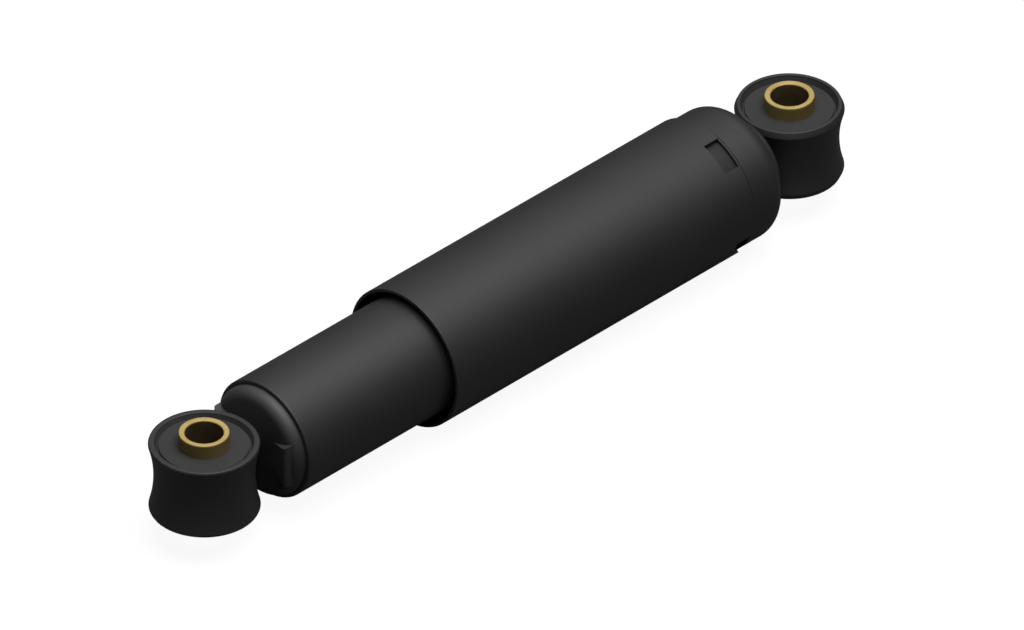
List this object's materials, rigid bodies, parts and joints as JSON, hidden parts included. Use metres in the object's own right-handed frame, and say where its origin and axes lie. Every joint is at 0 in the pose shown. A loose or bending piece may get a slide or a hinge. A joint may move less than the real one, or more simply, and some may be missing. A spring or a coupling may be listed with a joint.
{
  "type": "shock absorber",
  "caption": "Twin-tube hydraulic shock absorber in black with a sliding dust tube, valved piston and rubber-bushed eye at each end, for a trailer axle.",
  "frame": {"origin": "centre of the lower eye's bore, half way along it", "axes": "+X along the strut from the lower eye to the upper eye, +Z along both eye bores, +Y across the strut"},
  "size_m": [0.2952, 0.0476, 0.0476],
  "materials": {
    "black_paint": "satin",
    "yellow_zinc": "satin yellow passivated zinc",
    "rubber": "matte",
    "drawn_steel": "satin",
    "sintered_iron": "matte, fine grained",
    "spring_steel": "blued satin",
    "bronze": "satin",
    "chrome": "polished hard chrome",
    "low_friction_band": "satin"
  },
  "bodies": {
    "lower_mount": {"lower_sleeve": "yellow_zinc"},
    "cylinder": {"lower_bush": "rubber", "lower_eye_ring": "black_paint", "lower_neck": "black_paint", "base_cap": "black_paint", "reservoir_tube": "black_paint", "pressure_tube": "drawn_steel", "base_valve_body": "sintered_iron", "base_valve_discs": "spring_steel", "base_valve_bolt": "drawn_steel", "base_valve_retainer": "drawn_steel", "base_valve_nut": "drawn_steel", "intake_spring": "spring_steel", "rod_guide": "sintered_iron", "guide_bushing": "bronze", "rod_seal": "rubber", "garter_spring": "spring_steel", "seal_washer": "drawn_steel"},
    "intake_valve": {"intake_plate": "spring_steel"},
    "rod": {"piston_rod": "chrome", "piston": "sintered_iron", "piston_band": "low_friction_band", "check_spring": "spring_steel", "stop_washer": "drawn_steel", "rebound_discs": "spring_steel", "spring_seat": "drawn_steel", "rebound_spring": "spring_steel", "piston_nut": "drawn_steel", "stop_collar": "drawn_steel", "rebound_bumper": "rubber", "upper_cap": "black_paint", "dust_tube": "black_paint", "upper_neck": "black_paint", "upper_eye_ring": "black_paint", "upper_bush": "rubber"},
    "check_valve": {"check_plate": "spring_steel"},
    "upper_mount": {"upper_sleeve": "yellow_zinc"}
  },
  "joints": [
    {"name": "lower_eye_twist", "type": "hinge", "parent": "lower_mount", "child": "cylinder", "pos_m": [0, 0, 0], "axis": [0, 0, 1], "range_deg": [-12, 12], "stiffness_Nm_per_rad": 20},
    {"name": "stroke", "type": "slide", "parent": "cylinder", "child": "rod", "axis": [1, 0, 0], "range_m": [-0.044, 0.044]},
    {"name": "upper_eye_twist", "type": "hinge", "parent": "rod", "child": "upper_mount", "pos_m": [0.26, 0, 0], "axis": [0, 0, 1], "range_deg": [-12, 12], "stiffness_Nm_per_rad": 20},
    {"name": "intake_lift", "type": "slide", "parent": "cylinder", "child": "intake_valve", "axis": [1, 0, 0], "range_m": [0, 0.0008], "stiffness_N_per_m": 1000, "springref_m": -0.0005, "deforming": ["intake_spring"]},
    {"name": "check_lift", "type": "slide", "parent": "rod", "child": "check_valve", "axis": [1, 0, 0], "range_m": [0, 0.0008], "stiffness_N_per_m": 1000, "springref_m": -0.0005, "deforming": ["check_spring"]}
  ]
}
